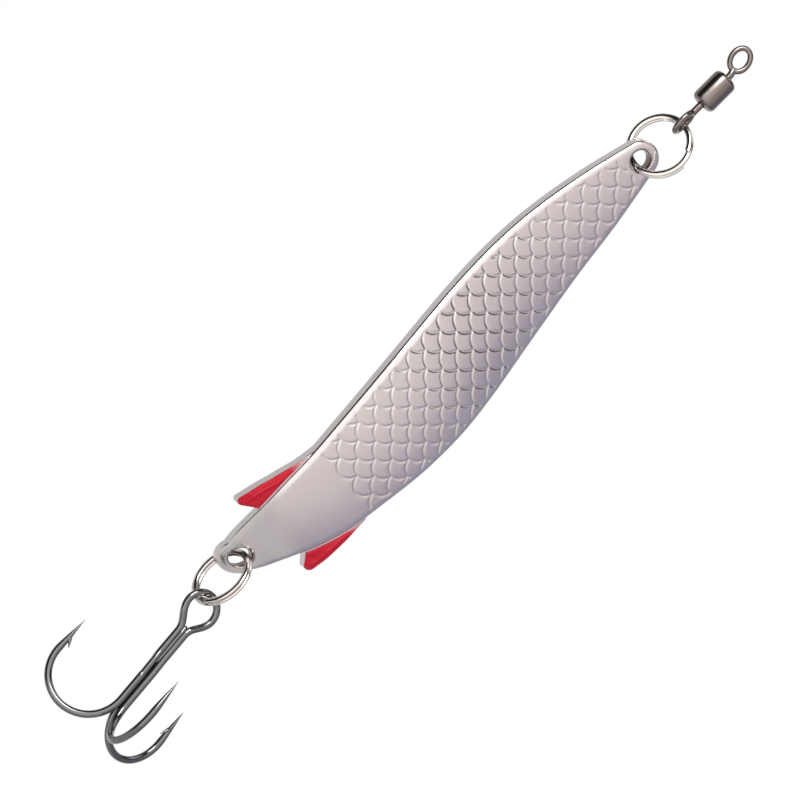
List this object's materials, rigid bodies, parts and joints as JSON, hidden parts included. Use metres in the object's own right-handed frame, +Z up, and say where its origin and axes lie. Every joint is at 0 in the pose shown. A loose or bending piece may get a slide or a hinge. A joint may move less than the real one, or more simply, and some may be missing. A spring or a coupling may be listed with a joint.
{
  "type": "spoon lure",
  "caption": "Stamped S-bent spoon with an embossed scaled face and red tail fins, hung from a barrel swivel by a split ring, with a treble hook on a second split ring.",
  "frame": {"origin": "centre of the swivel's line eye", "axes": "+Z up the line from the lure, -Y out of the scaled face, +X to the right seen from the scaled face"},
  "size_m": [0.0212, 0.0206, 0.134],
  "materials": {
    "blade_plating": "brass stamping with bright nickel plating",
    "red_enamel": "glossy red enamel, thinning at its upper edge",
    "ring_steel": "bright nickel-plated spring steel",
    "swivel_metal": "brass with dark nickel plating",
    "hook_steel": "smooth black nickel over hardened steel",
    "braze_metal": "filler metal plated with the hook"
  },
  "bodies": {
    "line_eye_body": {"swivel_line_eye": "swivel_metal"},
    "barrel_body": {"swivel_barrel": "swivel_metal"},
    "ring_eye_body": {"swivel_ring_eye": "swivel_metal"},
    "head_ring_body": {"head_split_ring": "ring_steel"},
    "blade_body": {"blade": "blade_plating", "left_fin_enamel": "red_enamel", "right_fin_enamel": "red_enamel"},
    "tail_ring_body": {"tail_split_ring": "ring_steel"},
    "treble_body": {"double_hook": "hook_steel", "single_hook": "hook_steel", "shank_braze": "braze_metal"}
  },
  "joints": [
    {"name": "barrel_spin", "type": "hinge", "parent": "line_eye_body", "child": "barrel_body", "pos_m": [0.00049, -0.00026, -0.00413], "axis": [0, 0, 1], "continuous": true},
    {"name": "ring_eye_spin", "type": "hinge", "parent": "barrel_body", "child": "ring_eye_body", "pos_m": [0.00049, -0.00026, -0.00761], "axis": [0, 0, 1], "continuous": true},
    {"name": "head_ring_swing", "type": "hinge", "parent": "ring_eye_body", "child": "head_ring_body", "pos_m": [0.00049, -0.00026, -0.01235], "axis": [0.5592, -0.829, 0], "range_deg": [-35, 35]},
    {"name": "blade_swing", "type": "hinge", "parent": "head_ring_body", "child": "blade_body", "pos_m": [0.00049, -0.00026, -0.01675], "axis": [0.829, 0.5592, 0], "range_deg": [-40, 40]},
    {"name": "tail_ring_swing", "type": "hinge", "parent": "blade_body", "child": "tail_ring_body", "pos_m": [0.0001, 0.00046, -0.0987], "axis": [0.1736, -0.9848, 0], "range_deg": [-20, 20]},
    {"name": "treble_swing", "type": "hinge", "parent": "tail_ring_body", "child": "treble_body", "pos_m": [0.0001, 0.00046, -0.1031], "axis": [0.9848, 0.1736, 0], "range_deg": [-30, 30]}
  ]
}
